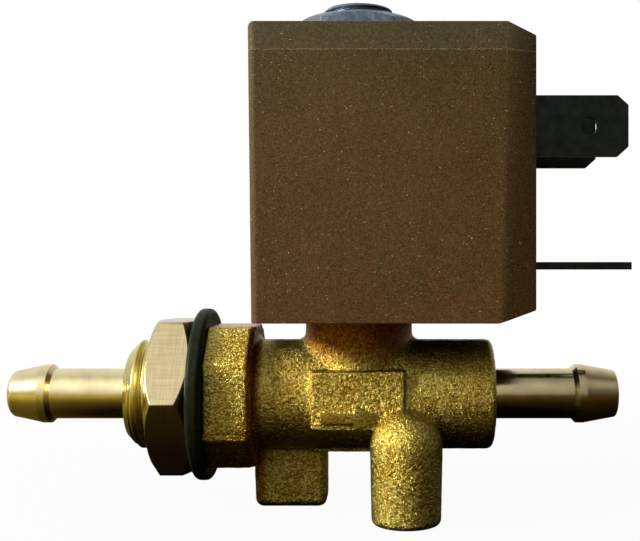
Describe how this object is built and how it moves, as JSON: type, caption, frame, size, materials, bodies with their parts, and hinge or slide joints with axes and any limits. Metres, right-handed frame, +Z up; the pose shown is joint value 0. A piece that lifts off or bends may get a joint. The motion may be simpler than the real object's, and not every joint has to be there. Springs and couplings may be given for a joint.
{
  "type": "solenoid valve",
  "caption": "Direct-acting two-way solenoid valve: forged brass body with hose tails, bulkhead thread with washer and nut, and a moulded plug-in coil.",
  "frame": {"origin": "middle of the overall length and width, on the plane of the feet's soles", "axes": "+X along the flow from inlet to outlet, +Z up along the coil, -Y towards the face with the flow arrow"},
  "size_m": [0.0668, 0.022, 0.054],
  "materials": {
    "forged_brass": "as-forged brass with a fine shot-blasted grain, satin sheen",
    "turned_brass": "turned bright brass with fine tool lines",
    "coil_moulding": "dark olive-brown glass-filled moulding, matt with a fine speckle",
    "rubber": "black rubber, slightly glossy rim",
    "zinc_steel": "zinc-plated steel with a cool bluish tint",
    "stainless": "bright drawn stainless steel",
    "tinned_tab": "dull dark tinned tab",
    "copper": "enamelled copper",
    "bobbin_plastic": "natural glass-filled nylon"
  },
  "bodies": {
    "body": {"valve_body": "forged_brass", "inlet_hose_tail": "turned_brass", "outlet_hose_tail": "turned_brass", "panel_washer": "rubber", "tube_o_ring": "rubber", "guide_tube": "stainless", "tube_ferrule": "turned_brass", "fixed_core": "zinc_steel", "shading_ring": "copper", "return_spring": "stainless"},
    "plunger": {"plunger": "stainless", "plunger_seal": "rubber"},
    "coil": {"coil_housing": "coil_moulding", "coil_bobbin": "bobbin_plastic", "coil_winding": "copper", "yoke_bracket": "zinc_steel", "yoke_plate": "zinc_steel", "power_tab_front": "tinned_tab", "power_tab_rear": "tinned_tab", "earth_tab": "tinned_tab", "plug_screw_insert": "turned_brass", "coil_o_ring": "rubber", "coil_washer": "zinc_steel"},
    "coil_nut": {"coil_nut": "zinc_steel"},
    "panel_nut": {"panel_nut": "turned_brass"}
  },
  "joints": [
    {"name": "plunger_lift", "type": "slide", "parent": "body", "child": "plunger", "axis": [0, 0, 1], "range_m": [0, 0.0015], "stiffness_N_per_m": 250, "springref_m": -0.003, "deforming": ["return_spring"]},
    {"name": "coil_swivel", "type": "hinge", "parent": "body", "child": "coil", "pos_m": [0.00422, 0, 0.0206], "axis": [0, 0, 1], "range_deg": [-120, 120]},
    {"name": "coil_nut_travel", "type": "slide", "parent": "body", "child": "coil_nut", "axis": [0, 0, 1], "range_m": [0, 0.0045]},
    {"name": "panel_nut_travel", "type": "slide", "parent": "body", "child": "panel_nut", "axis": [-1, 0, 0], "range_m": [0, 0.00315]}
  ]
}
